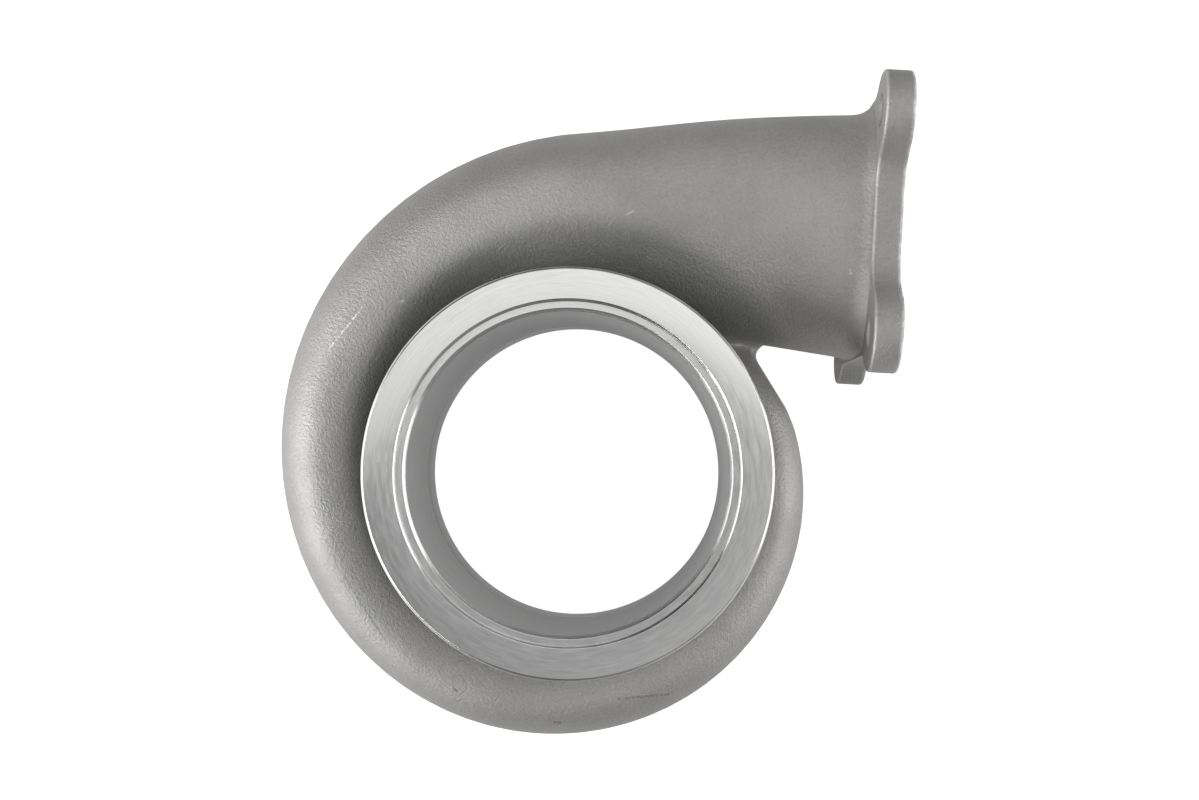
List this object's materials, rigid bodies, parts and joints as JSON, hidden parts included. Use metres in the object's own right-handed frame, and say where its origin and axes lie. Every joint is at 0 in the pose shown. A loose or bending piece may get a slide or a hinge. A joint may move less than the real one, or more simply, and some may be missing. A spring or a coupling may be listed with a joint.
{
  "type": "turbine housing",
  "caption": "Cast stainless turbine housing with a divided inlet duct, square bolted inlet flange and turned clamp flanges at the discharge and the centre housing.",
  "frame": {"origin": "on the turbine axis, in the face that meets the centre housing", "axes": "+Z along the turbine axis to the discharge face, +X out of the inlet flange, +Y from the turbine axis towards the inlet duct"},
  "size_m": [0.2013, 0.2235, 0.112],
  "materials": {
    "cast": "bead-blasted",
    "turned": "fine-turned"
  },
  "bodies": {
    "root": {"scroll_front": "cast", "scroll_rear": "cast", "scroll_divider": "cast", "inlet_duct": "cast", "duct_divider": "cast", "tongue": "cast", "inlet_flange": "cast", "wheel_shroud": "cast", "discharge_neck": "cast", "discharge_flange": "turned", "nozzle_rear_wall": "turned", "centre_flange": "turned"}
  },
  "joints": []
}
